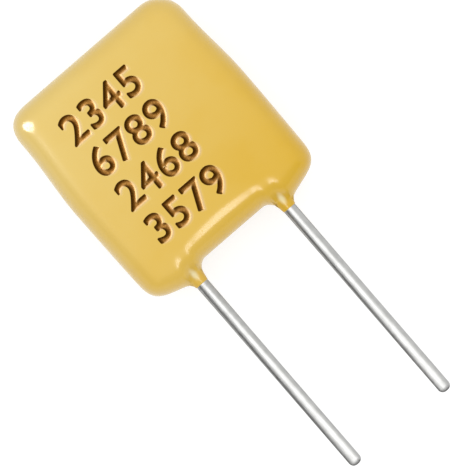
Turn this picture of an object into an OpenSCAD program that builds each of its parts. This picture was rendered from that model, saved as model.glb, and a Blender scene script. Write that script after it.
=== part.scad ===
// Dipped multilayer ceramic capacitor with two straight radial leads, lying on its back.
//
// X runs across the two leads, +Y points along them towards the top of the body, and
// +Z is up through the thickness. X is zero midway between the leads, Y is zero at the
// middle of the overall length, and Z is zero at the flat back that the body rests on.
// All sizes are in millimetres.

/* [Ceramic chip] */
// Width of the chip between its two end faces
chip_w = 6.8; // [6:0.1:8.4]
// Height of the chip along the leads
chip_h = 8.0; // [6:0.1:9.5]
// Thickness of the chip
chip_t = 2.3; // [1.6:0.1:3]
// Radius of the chip's four tumbled long edges
chip_edge_r = 0.15; // [0.05:0.01:0.3]

/* [Electrodes] */
// Electrode plates that reach each end of the chip
plates_per_end = 5; // [2:1:7]
// Thickness of one electrode plate
plate_t = 0.05; // [0.02:0.01:0.08]
// Bare ceramic above and below the plates, along the leads
plate_side_margin = 0.5; // [0.3:0.05:1]
// Bare ceramic between a plate's free edge and the far end of the chip
plate_end_margin = 0.6; // [0.3:0.05:1.2]
// Ceramic that covers the outermost plates
cover_t = 0.3; // [0.15:0.05:0.5]

/* [End terminations] */
// Wall of the metal cap on each end of the chip
cap_wall = 0.07; // [0.04:0.01:0.15]
// Length of the cap's band round the chip's faces
cap_band = 0.7; // [0.4:0.05:1.1]

/* [Leads] */
// Distance between the axes of the two leads
lead_pitch = 5.08; // [4.8:0.02:5.4]
// Diameter of the tinned wire
wire_d = 0.6; // [0.45:0.01:0.65]
// Length of the right lead below the coating
lead_out = 10.57; // [5:0.01:30]
// How much shorter the left lead is cut
lead_trim = 0.12; // [0:0.01:0.5]
// Radius round the cut end of a lead
tip_r = 0.14; // [0.02:0.01:0.2]
// Radius of each of the kink's two bends, at the middle of the wire
kink_r = 0.6; // [0.4:0.05:0.8]
// Straight wire between the foot of the coating and the kink
kink_cover = 0.35; // [0.2:0.05:0.8]
// Gap between the end of the kink and the level of the chip's lower face
kink_gap = 0.1; // [0.05:0.05:0.5]
// How far the wire stops short of the top of the chip
wire_short = 0.8; // [0.4:0.1:3]

/* [Solder] */
// Solder between a wire and the end cap
solder_gap = 0.04; // [0.02:0.01:0.1]
// Solder over the outer side of the wire
solder_film = 0.06; // [0.03:0.01:0.15]
// Radius of the hollow fillet on each side of the wire
solder_fillet = 0.35; // [0.2:0.05:0.5]
// Solder beyond the top of the wire
solder_over = 0.25; // [0.1:0.05:0.35]

/* [Coating] */
// Coating over the broad faces of the end caps
skin_face = 0.58; // [0.35:0.01:0.9]
// Coating outside the solder at the widest level
skin_side = 0.68; // [0.6:0.01:1.1]
// Coating over the top of the chip
skin_top = 1.08; // [0.8:0.01:1.6]
// How far the dipped body sits off the middle of the leads
skin_shift = 0.09; // [0:0.01:0.15]
// Width over which a face rolls away into an edge
edge_roll = 1.4; // [1.1:0.05:1.7]
// Fullness of that roll, where 2 is an elliptical one
roll_power = 3; // [2:0.1:4]
// How much higher the lower roll starts midway between the leads
low_arch = 0.3; // [0:0.05:0.5]
// Narrowing of each side between its widest level and the top
shoulder_taper = 0.21; // [0:0.01:0.4]
// Narrowing of each side between its widest level and the lower edge
foot_taper = 0.08; // [0:0.01:0.3]
// Tightness of the left top corner, where 2 is a round one
corner_top_left = 2.8; // [2:0.1:6]
// Tightness of the right top corner
corner_top_right = 2.1; // [2:0.1:6]
// Tightness of the two lower corners
corner_foot = 4.5; // [2:0.1:6]
// Height of the haunch above the foot of a meniscus, beside the wire
haunch_h = 0.31; // [0.15:0.01:0.5]
// Angle at which the haunch climbs from a lead to the side
haunch_angle = 16; // [8:1:24]

/* [Menisci] */
// Height from the foot of a meniscus to the edge between the leads
neck_h = 0.835; // [0.5:0.005:1.2]
// Wall of coating round the wire near the foot of a meniscus
neck_wall = 0.04; // [0.03:0.01:0.12]
// Growth of the meniscus radius for each millimetre of its height
neck_flare = 0.12; // [0.05:0.01:0.25]
// Length over which the foot of a meniscus closes in on the wire
neck_lip = 0.06; // [0.03:0.01:0.12]
// Softness of the blend between a meniscus and the body
neck_blend = 0.3; // [0.1:0.05:0.5]

/* [Hidden] */

LEFT = -1;
RIGHT = 1;
CLEAR = 1; // how far a cutter or a search runs past the shape it works on
$fn = 64;

// Across the part: each value is a distance from the middle of the leads.
wire_r = wire_d / 2;
lead_x = lead_pitch / 2;
chip_end_x = chip_w / 2;
cap_end_x = chip_end_x + cap_wall;
seat_x = cap_end_x + solder_gap + wire_r;
solder_end_x = seat_x + wire_r + solder_film;
body_half_w = solder_end_x + skin_side;

// The kink steps the wire from lead_x out to seat_x, four across for every three along.
KINK_ACROSS = 4 / 5;
KINK_ALONG = 3 / 5;
kink_a = atan2(KINK_ACROSS, KINK_ALONG);
kink_step = seat_x - lead_x;
kink_straight = (kink_step - 2 * kink_r * (1 - KINK_ALONG)) / KINK_ACROSS;
kink_rise = 2 * kink_r * KINK_ACROSS + kink_straight * KINK_ALONG;

// Along the leads.
body_h = kink_cover + kink_rise + kink_gap + chip_h + skin_top;
tip_y = -(lead_out + body_h) / 2;
foot_y = tip_y + lead_out;
kink_y = foot_y + kink_cover;
chip_y0 = kink_y + kink_rise + kink_gap;
chip_y1 = chip_y0 + chip_h;
wire_top_y = chip_y1 - wire_short;
top_y = foot_y + body_h;
edge_y = foot_y + neck_h;
flat_y0 = edge_y + edge_roll;
flat_y1 = top_y - edge_roll;
widest_y = (edge_y + top_y) / 2;

// Through the thickness.
half_t = chip_t / 2 + cap_wall + skin_face;
mid_z = half_t;

// ---- Coating: half thickness of the dipped body at every point of its outline ----

function smooth(a, b, v) = let (t = min(1, max(0, (v - a) / (b - a)))) t * t * (3 - 2 * t);
function mix(a, b, t) = a + (b - a) * t;

// The sides are widest at the middle level, step in softly above it and bow in below it.
function half_width(y) =
    let (below = max(0, widest_y - y) / (widest_y - edge_y))
    body_half_w - shoulder_taper * smooth(widest_y, flat_y1, y) - foot_taper * below * below;

// The lower edge is level between the leads, then climbs from each lead to the side.
haunch_x = lead_x + wire_r;
haunch_y = foot_y + haunch_h;
level_x = lead_x - neck_h;
function lower_edge(x) =
    mix(edge_y, haunch_y + (abs(x) - haunch_x) * tan(haunch_angle), smooth(level_x, haunch_x, abs(x)));

// The level at which the face starts to roll to the lower edge, arched between the leads.
function low_start(x) = flat_y0 + low_arch * (1 - smooth(0, lead_x, abs(x)));

// Squared half thickness of the pillow: full on the flat, zero on the outline.
function corner(x, y) = y < widest_y ? corner_foot : x < skin_shift ? corner_top_left : corner_top_right;
function pillow(x, y) =
    let (n = corner(x, y),
         side = max(0, 1 - (half_width(y) - abs(x - skin_shift)) / edge_roll),
         top = max(0, (y - flat_y1) / edge_roll),
         low = max(0, (low_start(x) - y) / (low_start(x) - lower_edge(x))))
    half_t * half_t * (1 - pow(pow(side, n) + pow(top, n) + pow(low, n), roll_power / n));

// Squared half thickness of the meniscus that climbs each lead.
function meniscus(x, y) =
    let (dx = abs(abs(x) - lead_x),
         up = max(0, y - foot_y - neck_lip),
         r = wire_r + neck_flare * up,
         lip = max(0, foot_y + neck_lip - y) / neck_lip,
         fade = max(0, y - flat_y0))
    r * r * (1 - lip * lip) - dx * dx - fade * fade;

// The two are blended, and never rise above the flat faces.
function thickness2(x, y) =
    let (a = pillow(x, y), b = meniscus(x, y))
    min(half_t * half_t, (a + b + sqrt(pow(a - b, 2) + neck_blend * neck_blend)) / 2);

// Level at which the thickness runs out between an inner level and an outer one.
ROOT_STEPS = 22;
function outline_y(u, inner, outer, steps = ROOT_STEPS) =
    let (y = (inner + outer) / 2)
    steps == 0 ? y
    : thickness2(column_x(u, y), y) > 0 ? outline_y(u, y, outer, steps - 1)
    : outline_y(u, inner, y, steps - 1);

// Columns run up the body. A column's u is -1 on the left side and 1 on the right one.
function column_x(u, y) = skin_shift + u * half_width(y);
function u_of(x) = (x - skin_shift) / half_width(foot_y);
SIDE_STEPS = 7;
NECK_STEPS = 6;
LEVEL_STEPS = 14;
neck_w = wire_r + 2 * neck_wall;
COLUMNS = concat(
    [for (j = [SIDE_STEPS : -1 : 1]) mix(u_of(-lead_x - neck_w), -1, sin(90 * j / SIDE_STEPS))],
    [for (j = [-NECK_STEPS : NECK_STEPS]) u_of(-lead_x + neck_w * sin(90 * j / NECK_STEPS))],
    [for (j = [1 : LEVEL_STEPS - 1]) u_of(-(lead_x - neck_w) * cos(180 * j / LEVEL_STEPS))],
    [for (j = [-NECK_STEPS : NECK_STEPS]) u_of(lead_x + neck_w * sin(90 * j / NECK_STEPS))],
    [for (j = [1 : SIDE_STEPS]) mix(u_of(lead_x + neck_w), 1, sin(90 * j / SIDE_STEPS))]
);
ROWS = 24;

// One column of points, from the lower edge to the top; face is 1 in front, -1 behind.
function column(u, face) =
    let (on_side = abs(u) == 1,
         y0 = on_side ? flat_y0 : outline_y(u, widest_y, foot_y - CLEAR),
         y1 = on_side ? flat_y1 : outline_y(u, widest_y, top_y + CLEAR))
    [for (k = [0 : ROWS])
        let (y = mix(y0, y1, (1 - cos(180 * k / ROWS)) / 2),
             x = column_x(u, y),
             on_rim = on_side || k == 0 || k == ROWS,
             z = on_rim ? 0 : sqrt(max(0, thickness2(x, y))))
        [x, y, mid_z + face * z]];

// Both faces share the rim, so the skin closes without doubled points.
function shell_points() =
    concat([for (u = COLUMNS) each column(u, 1)], [for (u = COLUMNS) each column(u, -1)]);
function on_rim(c, r) = c == 0 || c == len(COLUMNS) - 1 || r == 0 || r == ROWS;
function point_at(c, r, face) =
    c * (ROWS + 1) + r + (face < 0 && !on_rim(c, r) ? len(COLUMNS) * (ROWS + 1) : 0);
function flip(faces, face) = face > 0 ? faces : [for (f = faces) [f[0], f[2], f[1]]];
// Diagonals point to the middle, so that none cuts a corner off between two rim points.
function cell(c, r, face) =
    let (a = point_at(c, r, face), b = point_at(c + 1, r, face),
         d = point_at(c, r + 1, face), e = point_at(c + 1, r + 1, face),
         outward = (2 * c < len(COLUMNS) - 1) == (2 * r < ROWS))
    flip(outward ? [[a, d, e], [a, e, b]] : [[a, d, b], [b, d, e]], face);

module dipped_body() {
    cells = [for (c = [0 : len(COLUMNS) - 2]) for (r = [0 : ROWS - 1]) [c, r]];
    polyhedron(
        points = shell_points(),
        faces = [for (face = [1, -1]) for (p = cells) each cell(p[0], p[1], face)]
    );
}

// ---- Shapes that the pieces share ----

// A bar along X with rounded long edges, centred on the origin.
module bar(length, height, thickness, r) {
    rotate([90, 0, 90])
        linear_extrude(height = length, center = true) {
            square([height - 2 * r, thickness], center = true);
            square([height, thickness - 2 * r], center = true);
            for (sy = [-1, 1]) for (sz = [-1, 1])
                translate([sy * (height / 2 - r), sz * (thickness / 2 - r)]) circle(r);
        }
}

// Puts a shape drawn about the middle of the chip in its place.
module at_chip() {
    translate([0, (chip_y0 + chip_y1) / 2, mid_z]) children();
}

// A shape drawn for the right-hand end, or its mirror image for the left.
module on_end(side) {
    if (side == RIGHT) children();
    else mirror([1, 0, 0]) children();
}

module chip_blank() {
    bar(chip_w, chip_h, chip_t, chip_edge_r);
}

module cap_blank() {
    length = cap_band + cap_wall;
    translate([cap_end_x - length / 2, 0, 0])
        bar(length, chip_h + 2 * cap_wall, chip_t + 2 * cap_wall, chip_edge_r + cap_wall);
}

// ---- Electrode plates, alternately joined to the left end and the right end ----

plate_count = 2 * plates_per_end;
plate_step = (chip_t - 2 * cover_t - plate_t) / (plate_count - 1);
plate_w = chip_w - plate_end_margin;
plate_h = chip_h - 2 * plate_side_margin;

// Plate 1 of the left end is the lowest, and the right end's plate 1 lies above it.
// past is how far the plate runs out of the end that it reaches.
module plate(side, i, past = 0) {
    level = 2 * (i - 1) + (side == RIGHT ? 1 : 0);
    z0 = -chip_t / 2 + cover_t + level * plate_step;
    on_end(side) translate([chip_end_x - plate_w, -plate_h / 2, z0])
        cube([plate_w + past, plate_h, plate_t]);
}

module electrode(side, i) {
    color("#8d8f94") at_chip() plate(side, i);
}

// ---- Ceramic chip, which fills the space round its plates ----

module ceramic_chip() {
    color("#b98f6a") at_chip() difference() {
        chip_blank();
        for (i = [1 : plates_per_end]) {
            plate(LEFT, i, CLEAR);
            plate(RIGHT, i, CLEAR);
        }
    }
}

// ---- Five-sided metal cap on each end of the chip ----

module termination(side) {
    color("#c9ccd0") at_chip() on_end(side) difference() {
        cap_blank();
        chip_blank();
    }
}

// ---- Leads: straight outside the coating, kinked inside it, straight up the chip ----

// Drawn from the foot of the kink. Each stretch starts in the frame where the one before
// it ends, so that their ends meet.
module lead_blank(length_out) {
    translate([lead_x, kink_y, mid_z]) {
        straight = length_out + kink_cover - tip_r;
        rotate([180, 0, 0]) rod(straight);
        translate([0, -straight, 0]) cut_end();
        translate([kink_r, 0, 0]) rotate([0, 0, 180 - kink_a]) bend();
        translate([kink_r, 0, 0]) rotate([0, 0, -kink_a]) translate([-kink_r, 0, 0]) {
            rod(kink_straight);
            translate([-kink_r, kink_straight, 0]) {
                bend();
                rotate([0, 0, kink_a]) translate([kink_r, 0, 0])
                    rod(wire_top_y - kink_y - kink_rise);
            }
        }
    }
}

module rod(length) {
    rotate([-90, 0, 0]) cylinder(h = length, r = wire_r);
}

module bend() {
    rotate_extrude(angle = kink_a) translate([kink_r, 0]) circle(wire_r);
}

// The rounded end below a lead's straight length.
module cut_end() {
    rotate([90, 0, 0]) rotate_extrude() {
        square([wire_r - tip_r, tip_r]);
        intersection() {
            translate([wire_r - tip_r, 0]) circle(tip_r);
            translate([wire_r - tip_r, 0]) square(tip_r);
        }
    }
}

module lead(side) {
    color("#d3d6da") on_end(side) lead_blank(side == LEFT ? lead_out - lead_trim : lead_out);
}

// ---- Solder: a bead along each wire with a hollow fillet down to the end cap ----

// Half of the solder's cross-section is a circle round the wire, and the rest is a block
// down to the end cap. sunk is how far the base of the block reaches into the cap.
module solder_section(sunk) {
    half_h = wire_r + solder_film;
    fillet_end_x = cap_end_x + solder_film + solder_fillet;
    fillet_half_h = half_h + solder_fillet;
    base_x = cap_end_x - sunk;
    intersection() {
        difference() {
            union() {
                translate([base_x, -fillet_half_h])
                    square([fillet_end_x - base_x, 2 * fillet_half_h]);
                translate([base_x, -half_h]) square([seat_x - base_x, 2 * half_h]);
                translate([seat_x, 0]) circle(half_h);
            }
            for (s = [-1, 1])
                translate([fillet_end_x, s * fillet_half_h]) circle(solder_fillet);
        }
        translate([base_x, -CLEAR]) square([body_half_w, 2 * CLEAR]);
    }
}

module solder_blank(sunk = 0) {
    translate([0, chip_y0, mid_z]) rotate([-90, 0, 0])
        linear_extrude(height = wire_top_y + solder_over - chip_y0) solder_section(sunk);
}

module solder(side) {
    color("#a9adb3") on_end(side) difference() {
        solder_blank();
        lead_blank(lead_out);
    }
}

// ---- Coating: the dipped skin, less everything that it was dipped over ----

module coating() {
    color("#e6bf5a") difference() {
        dipped_body();
        at_chip() chip_blank();
        for (side = [LEFT, RIGHT]) {
            at_chip() on_end(side) cap_blank();
            on_end(side) solder_blank(cap_wall / 2);
            on_end(side) lead_blank(lead_out);
        }
    }
}

coating();
ceramic_chip();
termination(LEFT);  // termination_left
termination(RIGHT);  // termination_right
solder(LEFT);  // solder_left
solder(RIGHT);  // solder_right
lead(LEFT);  // lead_left
lead(RIGHT);  // lead_right
for (i = [1 : plates_per_end]) {
    electrode(LEFT, i);
    electrode(RIGHT, i);
}
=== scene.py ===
"""Visual model of a dipped ceramic capacitor with two straight radial leads.

The capacitor lies on its back on a pale floor. X runs across the two leads, +Y points along
them towards the top of the body, and +Z is up. Sizes in the classes are in millimetres, and
every finished mesh is in metres.
"""

import logging
import math
from dataclasses import dataclass, field, fields
from enum import Enum
from functools import cache

import bpy
import numpy as np
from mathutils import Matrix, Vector


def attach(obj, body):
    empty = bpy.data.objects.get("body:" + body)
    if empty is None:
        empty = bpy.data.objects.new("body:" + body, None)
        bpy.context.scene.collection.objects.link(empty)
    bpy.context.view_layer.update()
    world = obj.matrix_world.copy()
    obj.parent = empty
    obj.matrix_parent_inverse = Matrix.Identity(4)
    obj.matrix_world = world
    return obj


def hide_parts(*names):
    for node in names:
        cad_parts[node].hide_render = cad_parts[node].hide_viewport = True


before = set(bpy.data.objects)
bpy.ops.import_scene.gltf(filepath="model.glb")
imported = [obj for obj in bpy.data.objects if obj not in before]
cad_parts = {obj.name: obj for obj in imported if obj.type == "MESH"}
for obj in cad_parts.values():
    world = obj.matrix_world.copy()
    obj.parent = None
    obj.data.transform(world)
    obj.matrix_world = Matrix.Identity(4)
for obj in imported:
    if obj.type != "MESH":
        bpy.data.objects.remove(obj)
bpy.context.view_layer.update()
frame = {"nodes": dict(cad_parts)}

Object = bpy.types.Object
Node = bpy.types.Node
Socket = bpy.types.NodeSocket
Colour = tuple[float, float, float, float]

BODY = "root"
MM = 0.001
STROKE_EDGE = 0.4  # What is added to the depth inside a digit's stroke where it is stored.
STROKE_REACH = 0.3  # How far from a stroke's edge the depth is measured.
NOISE_RANGE = (0.3, 0.7)  # Where nearly all of a noise lies.
LOG = logging.getLogger("capacitor")


# ---- Plain arithmetic in a node tree ----


class Value:
    """A number or field in a node tree, written as plain arithmetic."""

    def __init__(self, tree: bpy.types.NodeTree, socket: Socket) -> None:
        """Keeps the tree and the output socket that carries the value."""
        self.tree = tree
        self.socket = socket

    def _math(self, operation: str, *terms: "Value | float") -> "Value":
        """The result of one Math node."""
        return Value(self.tree, Tree(self.tree).math(operation, *terms))

    def __add__(self, other: "Value | float") -> "Value":
        """Adds the other."""
        return self._math("ADD", self, other)

    def __sub__(self, other: "Value | float") -> "Value":
        """Takes the other away."""
        return self._math("SUBTRACT", self, other)

    def __rsub__(self, other: float) -> "Value":
        """Takes this away from a number."""
        return self._math("SUBTRACT", other, self)

    def __mul__(self, other: "Value | float") -> "Value":
        """Multiplies by the other."""
        return self._math("MULTIPLY", self, other)

    def __truediv__(self, other: "Value | float") -> "Value":
        """Divides by the other."""
        return self._math("DIVIDE", self, other)

    def __pow__(self, other: "Value | float") -> "Value":
        """Raises to a power."""
        return self._math("POWER", self, other)

    def __abs__(self) -> "Value":
        """The size without its sign."""
        return self._math("ABSOLUTE", self)

    __rmul__ = __mul__

    def above(self, other: "Value | float") -> "Value":
        """1 where this is greater than the other, and 0 elsewhere."""
        return self._math("GREATER_THAN", self, other)

    def at_least(self, other: "Value | float") -> "Value":
        """The greater of the two."""
        return self._math("MAXIMUM", self, other)

    def at_most(self, other: "Value | float") -> "Value":
        """The smaller of the two."""
        return self._math("MINIMUM", self, other)

    def within_unit(self) -> "Value":
        """Held between 0 and 1."""
        return self.at_least(0.0).at_most(1.0)

    def root(self) -> "Value":
        """The square root."""
        return self._math("SQRT", self)

    def smooth(self, low: "Value | float", high: "Value | float") -> "Value":
        """A soft step.

        Args:
            low: where the step starts, at 0.
            high: where it ends, at 1.

        Returns:
            The step's height at this value.
        """
        t = ((self - low) / (high - low)).within_unit()
        return t * t * (3.0 - 2.0 * t)

    def mix(self, other: "Value | float", share: "Value") -> "Value":
        """This where share is 0, and the other where it is 1."""
        return self + (other - self) * share


class Tree:
    """A node tree that is being filled."""

    def __init__(self, tree: bpy.types.NodeTree) -> None:
        """Keeps the tree."""
        self.tree = tree

    def feed(self, node: Node, feeds: dict[str | int, object]) -> None:
        """Links or sets inputs of a node.

        Args:
            node: the node.
            feeds: sockets, values or constants, by the input's name or number.
        """
        for name, source in feeds.items():
            if isinstance(source, Value):
                source = source.socket
            if isinstance(source, Socket):
                self.tree.links.new(source, node.inputs[name])
            else:
                node.inputs[name].default_value = source

    def node(
        self, kind: str, feeds: dict[str | int, object] | None = None, **settings: object
    ) -> Node:
        """Adds a node.

        Args:
            kind: the node's type.
            feeds: what goes into its inputs, as in feed.
            settings: the node's own properties.

        Returns:
            The node.
        """
        node = self.tree.nodes.new(kind)
        for name, setting in settings.items():
            setattr(node, name, setting)
        self.feed(node, feeds or {})
        return node

    def math(self, operation: str, *terms: object) -> Socket:
        """The result of one Math node, from its inputs in order."""
        feeds = dict(enumerate(terms))
        return self.node("ShaderNodeMath", feeds, operation=operation).outputs[0]

    def vector(self, x: object, y: object, z: object = 0.0) -> Socket:
        """The vector with those coordinates."""
        return self.node("ShaderNodeCombineXYZ", {0: x, 1: y, 2: z}).outputs[0]


class ShapeTree(Tree):
    """A Geometry Nodes tree with named sizes, which turns a base object into a plain mesh."""

    def __init__(self, name: str) -> None:
        """Starts the tree with its geometry input and output."""
        super().__init__(bpy.data.node_groups.new(name, "GeometryNodeTree"))
        self.sockets: dict[str, str] = {}
        self.settings: dict[str, object] = {}
        for way in ("INPUT", "OUTPUT"):
            self.tree.interface.new_socket("Geometry", in_out=way, socket_type="NodeSocketGeometry")
        self.start = self.tree.nodes.new("NodeGroupInput")
        self.end = self.tree.nodes.new("NodeGroupOutput")
        self.geometry = self.start.outputs["Geometry"]

    def take(self, name: str, setting: object, kind: str = "NodeSocketFloat") -> Socket:
        """Adds a named input.

        Args:
            name: the input's name.
            setting: the number, object or material that the modifier sets.
            kind: the socket's type.

        Returns:
            The input's socket inside the tree.
        """
        item = self.tree.interface.new_socket(name, in_out="INPUT", socket_type=kind)
        self.sockets[name] = item.identifier
        self.settings[name] = setting
        return self.start.outputs[name]

    def size(self, name: str, setting: float) -> Value:
        """Adds a named size and gives its value."""
        return Value(self.tree, self.take(name, setting))

    def read(self, name: str) -> Value:
        """The value of a named attribute."""
        node = self.node("GeometryNodeInputNamedAttribute", {"Name": name}, data_type="FLOAT")
        return Value(self.tree, node.outputs["Attribute"])

    def change(self, kind: str, feeds: dict[str, object] | None = None, **settings: object) -> None:
        """Passes the geometry through one more node, given as in node."""
        node = self.node(kind, {0: self.geometry} | (feeds or {}), **settings)
        self.geometry = node.outputs[0]

    def store(self, name: str, value: Value) -> None:
        """Stores a value on every point under a name."""
        feeds = {"Name": name, "Value": value}
        self.change("GeometryNodeStoreNamedAttribute", feeds, data_type="FLOAT", domain="POINT")

    def position(self) -> tuple[Value, Value, Value]:
        """The coordinates of each point."""
        place = self.node("GeometryNodeInputPosition").outputs[0]
        node = self.node("ShaderNodeSeparateXYZ", {"Vector": place})
        return tuple(Value(self.tree, out) for out in node.outputs)

    def move_to(self, x: Value, y: Value, z: Value) -> None:
        """Puts every point at new coordinates."""
        self.change("GeometryNodeSetPosition", {"Position": self.vector(x, y, z)})

    def to_metres(self) -> None:
        """Turns the mesh from millimetres to metres."""
        x, y, z = self.position()
        self.move_to(x * MM, y * MM, z * MM)

    def finish(self, base: Object, material: bpy.types.Material) -> Object:
        """Ends the tree, runs it on its base object and keeps the result as a plain mesh.

        Args:
            base: the object that carries the tree's base geometry.
            material: the finish of the whole piece.

        Returns:
            The finished piece, at the origin.
        """
        skin = self.take("Finish", material, "NodeSocketMaterial")
        self.change("GeometryNodeRealizeInstances")
        self.change("GeometryNodeSetShadeSmooth")
        self.change("GeometryNodeSetMaterial", {"Material": skin})
        self.feed(self.end, {"Geometry": self.geometry})
        modifier = base.modifiers.new(self.tree.name, "NODES")
        modifier.node_group = self.tree
        for name, identifier in self.sockets.items():
            modifier[identifier] = self.settings[name]
        bpy.context.view_layer.update()
        shaped = base.evaluated_get(bpy.context.evaluated_depsgraph_get())
        mesh = bpy.data.meshes.new_from_object(shaped)
        name = base.name
        base.modifiers.remove(modifier)
        bpy.data.objects.remove(base)
        mesh.name = name
        return add_object(name, mesh)


def add_object(name: str, data: bpy.types.ID) -> Object:
    """Puts an object with that data in the scene, at the origin."""
    made = bpy.data.objects.new(name, data)
    bpy.context.scene.collection.objects.link(made)
    return made


# ---- Shader effects that several finishes share ----


class Shader(Tree):
    """A shader tree that is being filled: a material's own or a group's."""

    def group(self, tree: bpy.types.NodeTree, **feeds: object) -> Node:
        """Places a node group, with its inputs by name and spaces written as low lines."""
        node = self.node("ShaderNodeGroup", node_tree=tree)
        self.feed(node, {name.replace("_", " "): source for name, source in feeds.items()})
        return node

    def place(self) -> Socket:
        """The object's own coordinates."""
        return self.node("ShaderNodeTexCoord").outputs["Object"]

    def noise(self, place: object, scale: object, detail: float) -> Socket:
        """A noise over a place."""
        feeds = {"Vector": place, "Scale": scale, "Detail": detail}
        return self.node("ShaderNodeTexNoise", feeds).outputs[0]

    def bump(self, height: object, distance: float) -> Socket:
        """The normal where a height from 0 to 1 raises the surface by up to a distance."""
        return self.node("ShaderNodeBump", {"Height": height, "Distance": distance}).outputs[0]

    def ramp(
        self, source: Socket, start: float, end: float, low: float = 0.0, high: object = 1.0
    ) -> Socket:
        """Maps a value softly, with start at and below low, and end at and above high."""
        feeds = {"Value": source, "From Min": low, "From Max": high, "To Min": start, "To Max": end}
        node = self.node("ShaderNodeMapRange", feeds, interpolation_type="SMOOTHSTEP")
        return node.outputs["Result"]

    def blend(self, first: object, second: object, share: object) -> Socket:
        """The first colour where share is 0, and the second where it is 1."""
        node = self.node("ShaderNodeMix", {0: share, 6: first, 7: second}, data_type="RGBA")
        return node.outputs[2]


class Effect(Enum):
    """Names of the shared shader effects."""

    MOTTLE = "Soft mottle"
    GRAIN = "Drawn grain"


def start_group(
    effect: Effect, inputs: dict[str, float], outputs: list[str]
) -> tuple[Shader, Node, Node]:
    """Starts a shader node group.

    Args:
        effect: the group's name.
        inputs: its numbers and their usual values.
        outputs: the names of the values that it puts out.

    Returns:
        The tree to fill, and its input and output nodes.
    """
    tree = bpy.data.node_groups.new(effect.value, "ShaderNodeTree")
    for name, usual in inputs.items():
        socket = tree.interface.new_socket(name, in_out="INPUT", socket_type="NodeSocketFloat")
        socket.default_value = usual
    for name in outputs:
        tree.interface.new_socket(name, in_out="OUTPUT", socket_type="NodeSocketFloat")
    return Shader(tree), tree.nodes.new("NodeGroupInput"), tree.nodes.new("NodeGroupOutput")


@cache
def mottle_group() -> bpy.types.NodeTree:
    """Broad cloudy variation, and a fine speckle, both over the object's own coordinates.

    Returns:
        The group, with the outputs Cloud and Speckle from 0 to 1.
    """
    usual = {"Cloud Scale": 300.0, "Speckle Scale": 6000.0}
    shader, start, end = start_group(Effect.MOTTLE, usual, ["Cloud", "Speckle"])
    place = shader.place()
    for name, detail in (("Cloud", 3.0), ("Speckle", 2.0)):
        noise = shader.noise(place, start.outputs[name + " Scale"], detail)
        shader.feed(end, {name: shader.ramp(noise, 0.0, 1.0, *NOISE_RANGE)})
    return shader.tree


@cache
def grain_group() -> bpy.types.NodeTree:
    """Fine lines along Y, as a drawing die or a wiping cloth leaves them.

    Returns:
        The group, with the outputs Lines and Dents from 0 to 1.
    """
    usual = {"Line Scale": 40000.0, "Stretch": 0.02, "Dent Scale": 2500.0}
    shader, start, end = start_group(Effect.GRAIN, usual, ["Lines", "Dents"])
    place = shader.place()
    squeeze = shader.vector(1.0, start.outputs["Stretch"], 1.0)
    drawn = shader.node("ShaderNodeVectorMath", {0: place, 1: squeeze}, operation="MULTIPLY")
    for name, vector in (("Line", drawn.outputs[0]), ("Dent", place)):
        noise = shader.noise(vector, start.outputs[name + " Scale"], 3.0)
        shader.feed(end, {name + "s": shader.ramp(noise, 0.0, 1.0, *NOISE_RANGE)})
    return shader.tree


# ---- Finishes ----


def start_material(name: str) -> tuple[bpy.types.Material, Shader, Node]:
    """Starts a material and gives it, its tree and its Principled shader."""
    material = bpy.data.materials.new(name)
    material.use_nodes = True
    return material, Shader(material.node_tree), material.node_tree.nodes["Principled BSDF"]


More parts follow.
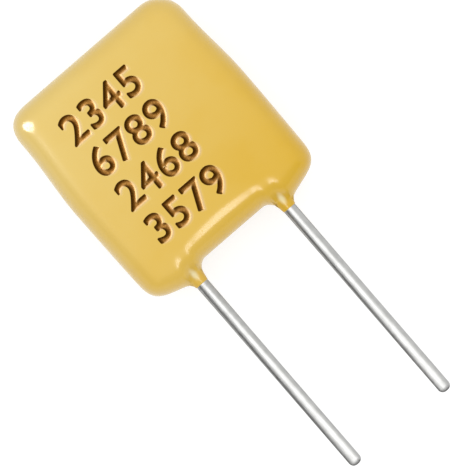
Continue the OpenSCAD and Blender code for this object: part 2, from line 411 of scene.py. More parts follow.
@dataclass(frozen=True)
class DippedEpoxy:
    """Glossy golden epoxy that was dipped and baked, with digits burnt into it.

    Its colour deepens from pale to deep across the body as painted shade: paler towards the upper
    left, where the light falls, and deeper towards the lower right. On the ridge over each lead it
    turns to a painted highlight, which also stands for the bright wire showing through the resin.
    The digits carry painted shade on each stroke's side away from the light, painted light on its
    lit side, and a painted highlight as a pale halo just outside it. Inside the digits, depths are
    in millimetres.
    """

    pale: Colour = (0.84, 0.612, 0.185, 1.0)
    deep: Colour = (0.74, 0.435, 0.010, 1.0)
    # Painted shade: the body colour runs from pale to deep along this way, as the light falls.
    drain_way: tuple[float, float, float] = (0.62, -0.78, 0.0)
    drain_far: float = 0.0125
    drain_near: float = -0.0060
    cloud: float = 0.10
    cloud_scale: float = 420.0
    speckle_scale: float = 9000.0
    speckle_low: float = 0.6
    # Painted shade and light of the digits: a dark colour on each stroke's side away from the
    # light, and a lighter one on its lit side.
    char: Colour = (0.062, 0.023, 0.002, 1.0)
    scorch: Colour = (0.26, 0.128, 0.030, 1.0)
    # Painted highlight: a pale halo just outside the lit edge of each stroke.
    soot: Colour = (0.74, 0.53, 0.36, 1.0)
    soot_start: float = -0.024
    soot_share: float = 0.55
    ash_start: float = -0.048
    ash_roughness: float = 0.75
    # Painted highlight on the ridge over each lead, which also stands for the wire seen through the
    # resin.
    thin: Colour = (0.98, 0.86, 0.50, 1.0)
    thin_place: tuple[float, float] = (0.00254, 0.0003)
    thin_reach: tuple[float, float] = (0.0002, 0.0004)
    thin_core: float = 0.15
    thin_share: float = 0.85
    burn_edge: float = 0.012
    burn_fade: float = 0.10
    burn_low: float = 0.0
    burn_high: float = 0.16
    roughness: float = 0.22
    uneven_roughness: float = 0.05
    gloss: float = 0.3
    ior: float = 1.5
    peel_scale: float = 1500.0
    peel_height: float = 0.0000012

    @cache
    def material(self) -> bpy.types.Material:
        """Builds the finish once.

        The piece carries two depths inside the digits: mark, and the depth a step towards the
        light, which paints their shade and highlight.
        """
        material, shader, skin = start_material("dipped_epoxy")
        place = shader.place()
        mottle = shader.group(
            mottle_group(), Cloud_Scale=self.cloud_scale, Speckle_Scale=self.speckle_scale
        )
        cloud, speckle = mottle.outputs["Cloud"], mottle.outputs["Speckle"]
        # Painted shade: paler towards the upper left, where the light falls, deeper towards the
        # lower right.
        toward_shade = shader.node(
            "ShaderNodeVectorMath", {0: place, 1: self.drain_way}, operation="DOT_PRODUCT"
        )
        shaded = shader.ramp(toward_shade.outputs["Value"], 0.0, 1.0, -self.drain_far, -self.drain_near)
        uneven = shader.ramp(cloud, -self.cloud / 2, self.cloud / 2)
        body = shader.blend(self.pale, self.deep, shader.math("ADD", shaded, uneven))
        # Painted highlight on the ridge over each lead, which also stands for the wire seen through
        # the resin.
        body = shader.blend(body, self.thin, self.thin_film(shader, place))
        # Painted shade and light: each stroke is dark on its side away from the light, lighter on
        # its lit side, and fades out towards the lower right.
        mark, lee = (self.depth_inside(shader, name) for name in ("mark", "lee"))
        lower = shader.ramp(lee, 0.0, 1.0, self.burn_low, self.burn_high)
        fade = shader.ramp(lee, self.burn_edge, self.burn_fade, self.burn_low, self.burn_high)
        burnt = shader.ramp(mark, 0.0, 1.0, -self.burn_edge, fade)
        speckled = shader.ramp(speckle, self.speckle_low, 1.0)
        brown = shader.blend(self.char, self.scorch, shader.math("MULTIPLY", lower, speckled))
        # Painted highlight: a pale halo just outside the lower-right edge of each stroke, the side
        # that the light falls on.
        halo_mask = shader.ramp(lee, 0.0, self.soot_share, self.soot_start, self.burn_fade)
        with_halo = shader.blend(body, self.soot, halo_mask)
        rough = shader.ramp(cloud, self.roughness, self.roughness + self.uneven_roughness)
        charred = shader.math("MAXIMUM", burnt, shader.ramp(lee, 0.0, 1.0, self.ash_start, 0.0))
        dull = shader.node("ShaderNodeMix", {0: charred, 2: rough, 3: self.ash_roughness})
        surface = {
            "Base Color": shader.blend(with_halo, brown, burnt),
            "Roughness": dull.outputs[0],
            "Metallic": burnt,
            "Normal": shader.bump(shader.noise(place, self.peel_scale, 2.0), self.peel_height),
            "IOR": self.ior,
            "Specular IOR Level": self.gloss,
        }
        shader.feed(skin, surface)
        return material

    def depth_inside(self, shader: Shader, name: str) -> Socket:
        """How deep a point lies inside a digit's stroke, and less than 0 outside."""
        stored = shader.node("ShaderNodeAttribute", attribute_name=name).outputs["Fac"]
        return shader.math("SUBTRACT", stored, STROKE_EDGE)

    def thin_film(self, shader: Shader, place: Socket) -> Socket:
        """How far the painted highlight shows on the ridge over each lead.

        It also stands for the bright wire showing through the resin film that climbs the lead.

        Args:
            shader: the material's tree.
            place: the object's own coordinates.

        Returns:
            A share, greatest on the ridge over each lead.
        """
        folded = shader.node("ShaderNodeVectorMath", {0: place}, operation="ABSOLUTE")
        across = shader.node("ShaderNodeSeparateXYZ", {0: folded.outputs[0]}).outputs["X"]
        along = shader.node("ShaderNodeSeparateXYZ", {0: place}).outputs["Y"]
        offs = (
            shader.math("DIVIDE", shader.math("SUBTRACT", source, middle), reach)
            for source, middle, reach in zip((across, along), self.thin_place, self.thin_reach)
        )
        off = shader.vector(*offs)
        far = shader.node("ShaderNodeVectorMath", {0: off}, operation="LENGTH").outputs["Value"]
        return shader.ramp(far, self.thin_share, 0.0, self.thin_core)


@dataclass(frozen=True)
class GrainedMetal:
    """Metal with fine lines along Y, shallow dents and a slightly uneven shine."""

    name: str
    bright: Colour
    dull: Colour
    roughness: float
    spread: float = 0.08
    line_scale: float = 40000.0
    stretch: float = 0.02
    dent_scale: float = 2500.0
    line_height: float = 0.0000015
    rim: Colour = (1.0, 1.0, 1.0, 1.0)

    @cache
    def material(self) -> bpy.types.Material:
        """Builds the finish once."""
        material, shader, skin = start_material(self.name)
        grain = shader.group(
            grain_group(),
            Line_Scale=self.line_scale,
            Stretch=self.stretch,
            Dent_Scale=self.dent_scale,
        )
        lines, dents = grain.outputs["Lines"], grain.outputs["Dents"]
        surface = {
            "Base Color": shader.blend(self.bright, self.dull, dents),
            "Roughness": shader.ramp(lines, self.roughness, self.roughness + self.spread),
            "Normal": shader.bump(lines, self.line_height),
            "Metallic": 1.0,
            "Specular Tint": self.rim,
        }
        shader.feed(skin, surface)
        return material


@dataclass(frozen=True)
class FiredCeramic:
    """Matt fired ceramic with a fine granular speckle."""

    pale: Colour = (0.45, 0.29, 0.17, 1.0)
    dark: Colour = (0.36, 0.21, 0.115, 1.0)
    roughness: float = 0.72
    spread: float = 0.1
    cloud_scale: float = 600.0
    speckle_scale: float = 16000.0
    grit: float = 0.000002

    @cache
    def material(self) -> bpy.types.Material:
        """Builds the finish once."""
        material, shader, skin = start_material("fired_ceramic")
        mottle = shader.group(
            mottle_group(), Cloud_Scale=self.cloud_scale, Speckle_Scale=self.speckle_scale
        )
        cloud, speckle = mottle.outputs["Cloud"], mottle.outputs["Speckle"]
        surface = {
            "Base Color": shader.blend(self.pale, self.dark, speckle),
            "Roughness": shader.ramp(cloud, self.roughness, self.roughness + self.spread),
            "Normal": shader.bump(speckle, self.grit),
        }
        shader.feed(skin, surface)
        return material


TINNED_WIRE = GrainedMetal(
    "tinned_wire", (0.52, 0.52, 0.51, 1.0), (0.46, 0.46, 0.45, 1.0),
    roughness=0.33, rim=(0.0, 0.0, 0.0, 1.0),
)
FIRED_SILVER = GrainedMetal(
    "fired_silver", (0.72, 0.71, 0.68, 1.0), (0.58, 0.57, 0.55, 1.0),
    roughness=0.38, line_scale=9000.0, stretch=0.6,
)
REFLOWED_SOLDER = GrainedMetal(
    "reflowed_solder", (0.66, 0.67, 0.69, 1.0), (0.50, 0.51, 0.53, 1.0),
    roughness=0.26, line_scale=6000.0, stretch=0.5,
)
PLATE_METAL = GrainedMetal(
    "plate_metal", (0.42, 0.41, 0.42, 1.0), (0.30, 0.30, 0.31, 1.0),
    roughness=0.45, line_scale=14000.0, stretch=0.9,
)


# ---- Digits burnt into the front face ----


@dataclass
class Marking:
    """Four rows of plain digits, as flat faces that lie on the front of the body."""

    rows: tuple[str, ...] = ("2345", "6789", "2468", "3579")
    left: float = -2.75
    advance: float = 1.05
    glyph_width: float = 0.85
    glyph_height: float = 1.32
    row_tops: tuple[float, ...] = (9.205, 7.335, 5.465, 3.535)
    level: float = 3.6
    curve_steps: int = 8

    def outline(self, glyph: str) -> tuple[np.ndarray, list[list[int]]]:
        """The points and faces of one digit, in the units of the typeface.

        Args:
            glyph: the digit.

        Returns:
            Its points, two numbers each, and its faces.
        """
        text = bpy.data.curves.new("glyph", "FONT")
        text.body = glyph
        text.resolution_u = self.curve_steps
        holder = add_object("glyph", text)
        bpy.context.view_layer.update()
        mesh = bpy.data.meshes.new_from_object(
            holder.evaluated_get(bpy.context.evaluated_depsgraph_get())
        )
        points = np.array([v.co[:2] for v in mesh.vertices])
        faces = [list(p.vertices) for p in mesh.polygons]
        bpy.data.objects.remove(holder)
        bpy.data.curves.remove(text)
        bpy.data.meshes.remove(mesh)
        return points, faces

    def build(self) -> Object:
        """Lays every digit in its place, as a helper object that goes once the skin is made."""
        outlines = {glyph: self.outline(glyph) for glyph in sorted(set("".join(self.rows)) | {"0"})}
        low, high = outlines["0"][0].min(axis=0), outlines["0"][0].max(axis=0)
        stretch = np.array([self.glyph_width, self.glyph_height]) / (high - low)
        points: list[list[float]] = []
        faces: list[list[int]] = []
        for top, row in zip(self.row_tops, self.rows):
            for column, glyph in enumerate(row):
                corner = np.array([self.left + column * self.advance, top - self.glyph_height])
                placed = (outlines[glyph][0] - low) * stretch + corner
                faces += [[i + len(points) for i in face] for face in outlines[glyph][1]]
                points += [[x, y, self.level] for x, y in placed]
        mesh = bpy.data.meshes.new("digits")
        mesh.from_pydata(points, [], faces)
        return add_object("digits", mesh)


# ---- The dipped skin ----


@dataclass
class SkinSizes:
    """Sizes of the dipped skin, in millimetres."""

    half_thickness: float = 1.8
    half_width: float = 4.85
    shift: float = 0.09
    shoulder_taper: float = 0.21
    foot_taper: float = 0.08
    edge_roll: float = 1.4
    roll_power: float = 3.0
    low_arch: float = 0.3
    foot_y: float = -0.25625
    edge_y: float = 0.57875
    top_y: float = 10.82625
    corner_top_left: float = 2.8
    corner_top_right: float = 2.1
    corner_foot: float = 4.5
    lead_x: float = 2.54
    wire_radius: float = 0.3
    haunch_height: float = 0.31
    haunch_slope: float = math.tan(math.radians(16))
    neck_film: float = 0.01
    neck_flare: float = 0.12
    neck_rise: float = 0.31
    neck_notch: float = 0.30
    neck_notch_half: float = 0.50
    neck_lip: float = 0.06
    neck_blend: float = 0.42
    digit_swell: float = 0.06
    digit_depth: float = 0.06
    digit_wall: float = 0.07
    # How far towards the light the depth for the digits' painted shade is taken.
    digit_lee: float = 0.075


@dataclass
class DippedSkin:
    """The epoxy skin: a pillow blended with a meniscus round each lead, and sunk digits."""

    sizes: SkinSizes = field(default_factory=SkinSizes)
    finish: DippedEpoxy = field(default_factory=DippedEpoxy)
    marking: Marking = field(default_factory=Marking)
    side_steps: int = 24
    neck_steps: int = 12
    neck_reach: float = 0.36
    digit_step: float = 0.037
    plain_step: float = 0.075
    digits_end: float = 1.35
    roll_rows: int = 36
    flat_rows: int = 198
    top_rows: int = 24
    search_span: float = 7.0
    search_steps: int = 22
    rim_start: float = 0.999999
    weld: float = 0.2e-6
    touching: float = 1e-5

    def columns(self) -> tuple[np.ndarray, int, int]:
        """Places of the columns across the body, from -1 at the left side to 1 at the right.

        Returns:
            The places, and the numbers of the first and the last column of the flat back.
        """
        s = self.sizes
        below = (self.middle - s.foot_y) / (self.middle - s.edge_y)
        half = s.half_width - s.foot_taper * below**2
        arc = np.linspace(0.0, math.pi / 2, self.side_steps + 1)[1:]
        swing = np.linspace(-math.pi / 2, math.pi / 2, 2 * self.neck_steps + 1)
        neck = self.neck_reach * np.sin(swing)
        inner = s.lead_x - self.neck_reach
        outer = s.lead_x + self.neck_reach
        fine = np.arange(-inner, self.digits_end, self.digit_step)[1:]
        plain = np.linspace(fine[-1], inner, int((inner - fine[-1]) / self.plain_step) + 1)[1:-1]
        middle = (np.concatenate([neck - s.lead_x, fine, plain, neck + s.lead_x]) - s.shift) / half
        left = (-outer - s.shift) / half
        right = (outer - s.shift) / half
        sides = [left + (-1 - left) * np.sin(arc[::-1]), middle, right + (1 - right) * np.sin(arc)]
        return np.concatenate(sides), self.side_steps, self.side_steps + len(middle) - 1

    @property
    def middle(self) -> float:
        """The level at which the body is widest."""
        return (self.sizes.edge_y + self.sizes.top_y) / 2

    def rows(self) -> tuple[np.ndarray, int, int]:
        """Places of the rows up the body: 0 to 1 low roll, 1 to 2 flat, 2 to 3 top roll.

        Returns:
            The places, and the numbers of the first and the last row of the flat.
        """
        low = 1 - np.cos(np.linspace(0.0, math.pi / 2, self.roll_rows + 1))[:-1]
        flat = np.linspace(1.0, 2.0, self.flat_rows + 1)
        top = 2 + np.sin(np.linspace(0.0, math.pi / 2, self.top_rows + 1))[1:]
        return np.concatenate([low, flat, top]), self.roll_rows, self.roll_rows + self.flat_rows

    def base(self) -> Object:
        """Lays out the skin's grid: X is the column, Y the row, and Z is 1 in front, -1 behind.

        Returns:
            A closed object whose front and back share the rim.
        """
        across, first, last = self.columns()
        up, bottom, top = self.rows()
        count, height = len(across), len(up)
        column, row = np.meshgrid(np.arange(count), np.arange(height), indexing="ij")
        rim = (column == 0) | (column == count - 1) | (row == 0) | (row == height - 1)
        flat = (column > first) & (column < last) & (row > bottom) & (row < top)
        front = np.arange(count * height).reshape(count, height)
        back = front.copy()
        inside = ~rim & ~flat
        back[inside] = count * height + np.arange(inside.sum())
        points, behind = (
            np.stack([across[column], up[row], level], axis=-1)
            for level in (np.where(rim, 0.0, 1.0), np.full(column.shape, -1.0))
        )
        cells = (front[:-1, :-1], front[1:, :-1], front[1:, 1:], front[:-1, 1:])
        faces = np.stack([c.ravel() for c in cells], axis=-1).tolist()
        kept = np.ones((count - 1, height - 1), bool)
        kept[first:last, bottom:top] = False
        cells = (back[:-1, :-1], back[:-1, 1:], back[1:, 1:], back[1:, :-1])
        faces += np.stack([c[kept] for c in cells], axis=-1).tolist()
        plate = [
            back[first, bottom:top],
            back[first:last, top],
            back[last, top:bottom:-1],
            back[last:first:-1, bottom],
        ]
        faces.append(np.concatenate(plate).tolist())
        mesh = bpy.data.meshes.new("coating_grid")
        points = np.concatenate([points.reshape(-1, 3), behind[inside]])
        mesh.from_pydata(points.tolist(), [], faces)
        return add_object("dipped_coating", mesh)

    def build(self) -> Object:
        """Shapes the skin by its rule and dresses it."""
        shape = ShapeTree("Dipped skin")
        size = {f.name: shape.size(f.name, getattr(self.sizes, f.name)) for f in fields(self.sizes)}
        digits = self.marking.build()
        digits_in = shape.take("digits", digits, "NodeSocketObject")
        rule = SkinRule(size)
        for name, part in zip(("u", "v", "face"), shape.position()):
            shape.store(name, part)
        u, v, face = (shape.read(name) for name in ("u", "v", "face"))
        self.find_outline(shape, rule, u)
        side = abs(u).above(self.rim_start)
        foot = shape.read("foot").mix(rule.flat_low, side)
        crown = shape.read("crown").mix(rule.flat_high, side)
        y = (
            foot
            + (rule.flat_low - foot) * v.within_unit()
            + (rule.flat_high - rule.flat_low) * (v - 1.0).within_unit()
            + (crown - rule.flat_high) * (v - 2.0).within_unit()
        )
        x = rule.column_x(u, y)
        z = face * rule.thickness2(x, y).at_least(0.0).root() + size["half_thickness"]
        shape.move_to(x, y, z)
        self.sink_digits(shape, size, digits_in)
        shape.to_metres()
        shape.change("GeometryNodeMergeByDistance", {"Distance": self.weld})
        made = shape.finish(self.base(), self.finish.material())
        bpy.data.objects.remove(digits)
        for name in ("u", "v", "face", "foot", "crown"):
            made.data.attributes.remove(made.data.attributes[name])
        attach(made, BODY)
        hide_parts("coating")
        return made

    def find_outline(self, shape: ShapeTree, rule: "SkinRule", u: Value) -> None:
        """Halves its way to the two levels of each column where the thickness runs out.

        Args:
            shape: the tree; the levels are stored as foot and crown.
            rule: the thickness rule.
            u: the column's place across the body.
        """
        shape.store("foot", rule.middle - self.search_span / 2)
        shape.store("crown", rule.middle + self.search_span / 2)
        enter, leave = (shape.node("GeometryNodeRepeat" + end) for end in ("Input", "Output"))
        enter.pair_with_output(leave)
        leave.repeat_items.new("FLOAT", "Step")
        loop = {"Iterations": self.search_steps, "Step": self.search_span / 4}
        shape.feed(enter, loop | {"Geometry": shape.geometry})
        shape.geometry = enter.outputs["Geometry"]
        step = Value(shape.tree, enter.outputs["Step"])
        for name, way in (("foot", -1.0), ("crown", 1.0)):
            y = shape.read(name)
            solid = rule.thickness2(rule.column_x(u, y), y).above(0.0)
            shape.store(name, y + (2.0 * solid - 1.0) * step * way)
        shape.feed(leave, {"Geometry": shape.geometry, "Step": step / 2.0})
        shape.geometry = leave.outputs["Geometry"]

    def sink_digits(self, shape: ShapeTree, size: dict[str, Value], digits: Socket) -> None:
        """Sinks the digits, and stores how deep each point lies inside one.

        The depth at the point itself is stored as mark, and the depth a little further up and to
        the left, towards the light, is stored under a second name, so that the material paints
        shade on the side of each stroke away from the light and light on its lit side. Both hold
        STROKE_EDGE at the edge of a stroke, and 0 far outside it and at the back.

        Args:
            shape: the tree, with the skin in place in millimetres.
            size: the named sizes.
            digits: the object that holds the digits' faces.
        """
        glyphs = shape.node("GeometryNodeObjectInfo", {"Object": digits}).outputs["Geometry"]
        neighbours = shape.node("GeometryNodeInputMeshEdgeNeighbors").outputs[0]
        lone = 2.0 - Value(shape.tree, neighbours)
        strokes = shape.node(
            "GeometryNodeSeparateGeometry",
            {"Geometry": glyphs, "Selection": lone.above(0.5)},
            domain="EDGE",
        ).outputs["Selection"]
        x, y, z = shape.position()
        front = shape.read("face").above(0.5)
        # The second depth is taken a step towards the light; it paints the shade and highlight of
        # the strokes.
        for name, ahead in (("mark", 0.0), ("lee", size["digit_lee"])):
            seat = shape.vector(x - ahead, y + ahead, self.marking.level)
            spans = []
            for target, element in ((glyphs, "FACES"), (strokes, "EDGES")):
                near = shape.node(
                    "GeometryNodeProximity",
                    {0: target, "Source Position": seat},
                    target_element=element,
                )
                spans.append(Value(shape.tree, near.outputs["Distance"]))
            within = 1.0 - spans[0].above(self.touching)
            depth = spans[1].at_most(STROKE_REACH) * (2.0 * within - 1.0) + size["digit_swell"]
            shape.store(name, (depth + STROKE_EDGE) * front)
        sunk = (shape.read("mark") - STROKE_EDGE).smooth(0.0, size["digit_wall"])
        x, y, z = shape.position()
        shape.move_to(x, y, z - sunk * size["digit_depth"])


class SkinRule:
    """The rule of the skin's thickness, from its named sizes."""

    def __init__(self, size: dict[str, Value]) -> None:
        """Works out the levels that the sizes give."""
        self.size = size
        self.middle = (size["edge_y"] + size["top_y"]) / 2.0
        self.flat_low = size["edge_y"] + size["edge_roll"]
        self.flat_high = size["top_y"] - size["edge_roll"]
        self.haunch_x = size["lead_x"] + size["wire_radius"]
        self.haunch_y = size["foot_y"] + size["haunch_height"]
        self.level_x = size["lead_x"] - (size["edge_y"] - size["foot_y"])

    def half_width(self, y: Value) -> Value:
        """Half the width of the body at a level."""
        s = self.size
        below = (self.middle - y).at_least(0.0) / (self.middle - s["edge_y"])
        step = y.smooth(self.middle, self.flat_high)
        return s["half_width"] - s["shoulder_taper"] * step - s["foot_taper"] * below * below

    def column_x(self, u: Value, y: Value) -> Value:
        """Where a column runs at a level."""
        return self.size["shift"] + u * self.half_width(y)

    def lower_edge(self, x: Value) -> Value:
        """The lower edge: level between the leads, set back over each lead, then climbing."""
        s = self.size
        reach = abs(x)
        climb = self.haunch_y + (reach - self.haunch_x) * s["haunch_slope"]
        notch = s["neck_notch"] * (1.0 - abs(reach - s["lead_x"]).smooth(0.0, s["neck_notch_half"]))
        return s["edge_y"].mix(climb, reach.smooth(self.level_x, self.haunch_x)) + notch

    def low_start(self, x: Value) -> Value:
        """Where the face starts to roll to the lower edge, arched between the leads."""
        s = self.size
        return self.flat_low + s["low_arch"] * (1.0 - abs(x).smooth(0.0, s["lead_x"]))

    def corner(self, x: Value, y: Value) -> Value:
        """How tight the nearest corner is, where 2 is a round one."""
        s = self.size
        top = s["corner_top_left"].mix(s["corner_top_right"], x.above(s["shift"]))
        return s["corner_foot"].mix(top, y.above(self.middle))

    def pillow(self, x: Value, y: Value) -> Value:
        """Squared half thickness of the body: full on the flat, zero on the outline."""
        s = self.size
        n = self.corner(x, y)
        side = (1.0 - (self.half_width(y) - abs(x - s["shift"])) / s["edge_roll"]).at_least(0.0)
        top = ((y - self.flat_high) / s["edge_roll"]).at_least(0.0)
        start = self.low_start(x)
        low = ((start - y) / (start - self.lower_edge(x))).at_least(0.0)
        run = (side**n + top**n + low**n) ** (s["roll_power"] / n)
        return s["half_thickness"] * s["half_thickness"] * (1.0 - run)

    def meniscus(self, x: Value, y: Value) -> Value:
        """Squared half thickness of the skin that climbs each lead."""
        s = self.size
        off = abs(abs(x) - s["lead_x"])
        up = (y - s["foot_y"] - s["neck_lip"]).at_least(0.0)
        wire = s["wire_radius"] + s["neck_film"]
        rise = wire + s["neck_rise"] * up
        spread = off / (wire + s["neck_flare"] * up)
        lip = (s["foot_y"] + s["neck_lip"] - y).at_least(0.0) / s["neck_lip"]
        fade = (y - self.flat_low).at_least(0.0)
        return rise * rise * (1.0 - lip * lip - spread * spread) - fade * fade

    def thickness2(self, x: Value, y: Value) -> Value:
        """Squared half thickness of the two blended, never more than the flat faces have."""
        s = self.size
        a, b = self.pillow(x, y), self.meniscus(x, y)
        gap = a - b
        joined = (a + b + (gap * gap + s["neck_blend"] * s["neck_blend"]).root()) / 2.0
        return joined.at_most(s["half_thickness"] * s["half_thickness"])


# ---- The leads ----


class Side(Enum):
    """The two leads, each with its direction across the part."""

    LEFT = -1.0
    RIGHT = 1.0


@dataclass
class TinnedLead:
    """One lead: straight outside the skin, kinked inside it, straight up the chip's end."""

    side: Side
    tip_y: float
    axis_x: float = 2.54
    seat_x: float = 3.81
    level: float = 1.8
    kink_y: float = 0.09375
    kink_rise: float = 1.5525
    top_y: float = 8.94625
    radius: float = 0.3
    tip_round: float = 0.25
    bend_radius: float = 0.6
    bend_tangent: float = 0.3
    tip_steps: int = 8
    bend_steps: int = 14
    ring_points: int = 64
    finish: GrainedMetal = TINNED_WIRE

    def path(self) -> Object:
        """The middle line of the wire with its four corners, thinned at the rounded tip.

        Returns:
            A curve object in millimetres.
        """
        corners = [
            (self.axis_x, self.kink_y + self.bend_tangent),
            (self.seat_x, self.kink_y + self.kink_rise - self.bend_tangent),
            (self.seat_x, self.top_y),
        ]
        stations = []
        for k in range(self.tip_steps + 1):
            turn = math.pi / 2 * k / self.tip_steps
            share = 1 - self.tip_round / self.radius * (1 - math.sin(turn))
            y = self.tip_y + self.tip_round * (1 - math.cos(turn))
            stations.append((self.axis_x, y, share))
        stations += [(x, y, 1.0) for x, y in corners]
        curve = bpy.data.curves.new("lead_path", "CURVE")
        curve.dimensions = "3D"
        line = curve.splines.new("POLY")
        line.points.add(len(stations) - 1)
        for point, (x, y, share) in zip(line.points, stations):
            point.co = (self.side.value * x, y, self.level, 1.0)
            point.radius = share
        return add_object("lead_" + self.side.name.lower() + "_wire", curve)

    def build(self) -> Object:
        """Sweeps the wire along its path and dresses it."""
        shape = ShapeTree("Swept wire")
        radius = shape.size("wire_radius", self.radius)
        bend = shape.size("bend_radius", self.bend_radius)
        fillet = {"Radius": bend, "Count": self.bend_steps}
        shape.change("GeometryNodeFilletCurve", fillet, mode="POLY")
        ring = shape.node(
            "GeometryNodeCurvePrimitiveCircle", {"Resolution": self.ring_points, "Radius": radius}
        )
        sweep = {
            "Profile Curve": ring.outputs[0],
            "Scale": shape.node("GeometryNodeInputRadius").outputs[0],
            "Fill Caps": True,
        }
        shape.change("GeometryNodeCurveToMesh", sweep)
        shape.to_metres()
        made = shape.finish(self.path(), self.finish.material())
        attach(made, BODY)
        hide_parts("lead_" + self.side.name.lower())
        return made


# ---- What is inside the skin ----


@dataclass
class InnerParts:
    """The chip, its plates, its end caps and the solder, which keep their own solids."""

    ceramic: FiredCeramic = field(default_factory=FiredCeramic)
    silver: GrainedMetal = FIRED_SILVER
    solder: GrainedMetal = REFLOWED_SOLDER
    plates: GrainedMetal = PLATE_METAL

    def dress(self, nodes: dict[str, Object]) -> int:
        """Gives every solid the finish that its name calls for, and counts them."""
        looks = {
            "ceramic_chip": self.ceramic.material(),
            "termination": self.silver.material(),
            "solder": self.solder.material(),
            "electrode": self.plates.material(),
            "lead": TINNED_WIRE.material(),
            "coating": DippedEpoxy().material(),
        }
        dressed = 0
        for name, solid in sorted(nodes.items()):
            for start, material in looks.items():
                if name.startswith(start):
                    solid.data.materials.clear()
                    solid.data.materials.append(material)
                    dressed += 1
        return dressed


# ---- Floor, light and camera ----


class Lit(Enum):
    """The pieces that one lamp's shine is meant for."""

    COATING = ("dipped_coating",)
    LEADS = ("lead_left_wire", "lead_right_wire")

    def collection(self) -> bpy.types.Collection:
        """Gathers those pieces outside the scene, for a lamp's light linking."""
        gathered = bpy.data.collections.new("lit_" + self.name.lower())
        for name in self.value:
            gathered.objects.link(bpy.data.objects[name])
        return gathered


@dataclass(frozen=True)
class SoftBox:
    """A flat lamp that shows only in the gloss of some pieces.

    It hangs at its place and faces its target, and its radiance is the same for every size.
    """

    name: str
    lit: Lit
    place: tuple[float, float, float]
    target: tuple[float, float, float]
    width: float
    height: float
    radiance: float
    shape: str = "RECTANGLE"

    def build(self) -> Object:
        """Hangs the lamp, with its width level."""
        lamp = bpy.data.lights.new(self.name, "AREA")
        lamp.shape = self.shape
        lamp.size = self.width * MM
        lamp.size_y = self.height * MM
        lamp.energy = math.pi * self.width * self.height * MM * MM * self.radiance
        made = add_object(self.name, lamp)
        back = (Vector(self.place) - Vector(self.target)).normalized()
        made.location = Vector(self.place) * MM
        made.rotation_euler = back.to_track_quat("Z", "Y").to_euler()
        made.visible_camera = False
        made.visible_diffuse = False
        made.light_linking.receiver_collection = self.lit.collection()
        return made


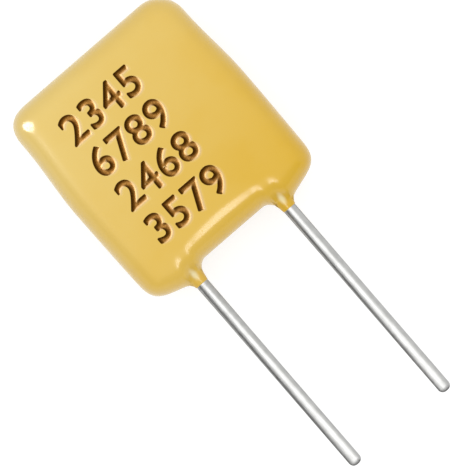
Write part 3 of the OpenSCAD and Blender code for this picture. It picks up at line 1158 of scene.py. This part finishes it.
@dataclass
class Studio:
    """A pale floor under soft light, with dark cards that the wires mirror, all in metres."""

    floor_half: float = 2.0
    floor_colour: Colour = (0.45, 0.45, 0.45, 1.0)
    floor_roughness: float = 0.9
    glow: float = 0.70
    sky: float = 1.0
    card_distance: float = 0.06
    card_width: float = 0.20
    card_height: float = 0.05
    tip_card_half: float = 0.05
    card_colour: Colour = (0.12, 0.12, 0.12, 1.0)
    lamps: tuple[SoftBox, ...] = (
        SoftBox("lead_box", Lit.LEADS, (0.0, -7.0, 42.0), (0.0, -7.0, 0.0), 34.0, 34.0, 1.70),
        SoftBox("foot_strip", Lit.COATING, (0.0, -5.4, 13.1), (0.0, 1.5, 3.3), 1.8, 6.4, 17.0),
        SoftBox(
            "corner_disc", Lit.COATING, (-23.5, 24.5, 17.5), (-3.85, 9.83, 3.45),
            20.0, 34.0, 25.0, shape="ELLIPSE",
        ),
    )

    def floor(self) -> Object:
        """Lays the floor, which shows white and keeps the part's shadow."""
        h = self.floor_half
        mesh = bpy.data.meshes.new("floor")
        mesh.from_pydata([(-h, -h, 0), (h, -h, 0), (h, h, 0), (-h, h, 0)], [], [(0, 1, 2, 3)])
        made = add_object("floor", mesh)
        material, shader, skin = start_material("floor_paper")
        surface = {
            "Base Color": self.floor_colour,
            "Roughness": self.floor_roughness,
            "Specular IOR Level": 0.0,
            "Emission Color": (1.0, 1.0, 1.0, 1.0),
            "Emission Strength": shader.math("MULTIPLY", self.seen_directly(shader), self.glow),
        }
        shader.feed(skin, surface)
        mesh.materials.append(material)
        return made

    def cards(self) -> Object:
        """Stands dark cards to the left and beyond the tips, which only mirror rays meet."""
        far, tall, half = self.card_distance, self.card_height, self.card_width / 2
        mesh = bpy.data.meshes.new("cards")
        tips = self.tip_card_half
        ends = (((-far, -half), (-far, half)), ((-tips, -far), (tips, -far)))
        points = [(x, y, z) for pair in ends for x, y in pair for z in (0.0, tall)]
        mesh.from_pydata(points, [], [(0, 2, 3, 1), (4, 6, 7, 5)])
        made = add_object("cards", mesh)
        material, shader, skin = start_material("card_felt")
        felt = {"Base Color": self.card_colour, "Roughness": 1.0, "Specular IOR Level": 0.0}
        shader.feed(skin, felt)
        mesh.materials.append(material)
        made.visible_camera = False
        made.visible_diffuse = False
        made.visible_shadow = False
        return made

    def seen_directly(self, shader: Shader) -> Socket:
        """1 for rays from the camera, mirror rays and rays through glass, and 0 for the rest."""
        path = shader.node("ShaderNodeLightPath").outputs
        mirror = shader.math("MAXIMUM", path["Is Camera Ray"], path["Is Glossy Ray"])
        return shader.math("MAXIMUM", mirror, path["Is Transmission Ray"])

    def world(self) -> None:
        """Sets an even pale surround that shows white."""
        world = bpy.data.worlds.new("surround")
        world.use_nodes = True
        backdrop = world.node_tree.nodes["Background"]
        backdrop.inputs["Color"].default_value = (1.0, 1.0, 1.0, 1.0)
        backdrop.inputs["Strength"].default_value = self.sky
        bpy.context.scene.world = world

    def build(self) -> None:
        """Sets up the surround, the floor, the cards and the lamps, once every piece is there."""
        self.world()
        self.floor()
        self.cards()
        for lamp in self.lamps:
            lamp.build()


@dataclass
class View:
    """The camera: straight above the part, turned so that the leads run down to the right.

    The centre, the focus level and the frame are in millimetres, and the near and far limits in
    metres.
    """

    centre: tuple[float, float] = (-0.053, 0.45)
    focus_level: float = 1.8
    frame_width: float = 20.69
    lens: float = 300.0
    sensor: float = 36.0
    turn: float = -40.87
    nearest: float = 0.01
    farthest: float = 20.0

    def build(self) -> Object:
        """Hangs the camera and makes it the scene's own."""
        camera = bpy.data.cameras.new("camera")
        camera.lens = self.lens
        camera.sensor_width = self.sensor
        camera.clip_start = self.nearest
        camera.clip_end = self.farthest
        made = add_object("camera", camera)
        rise = self.frame_width * self.lens / self.sensor + self.focus_level
        made.location = (self.centre[0] * MM, self.centre[1] * MM, rise * MM)
        made.rotation_euler = (0.0, 0.0, math.radians(self.turn))
        bpy.context.scene.camera = made
        return made


def main() -> None:
    """Builds the camera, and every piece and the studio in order."""
    logging.basicConfig(level=logging.INFO, format="%(name)s: %(message)s")
    bpy.context.scene.view_settings.view_transform = "Standard"
    View().build()
    LOG.info("inner parts dressed: %d", InnerParts().dress(frame["nodes"]))
    for maker in (
        DippedSkin(),
        TinnedLead(Side.LEFT, tip_y=-10.70625),
        TinnedLead(Side.RIGHT, tip_y=-10.82625),
    ):
        piece = maker.build()
        LOG.info("%s: %d faces", piece.name, len(piece.data.polygons))
    Studio().build()


if __name__ == "__main__":
    main()
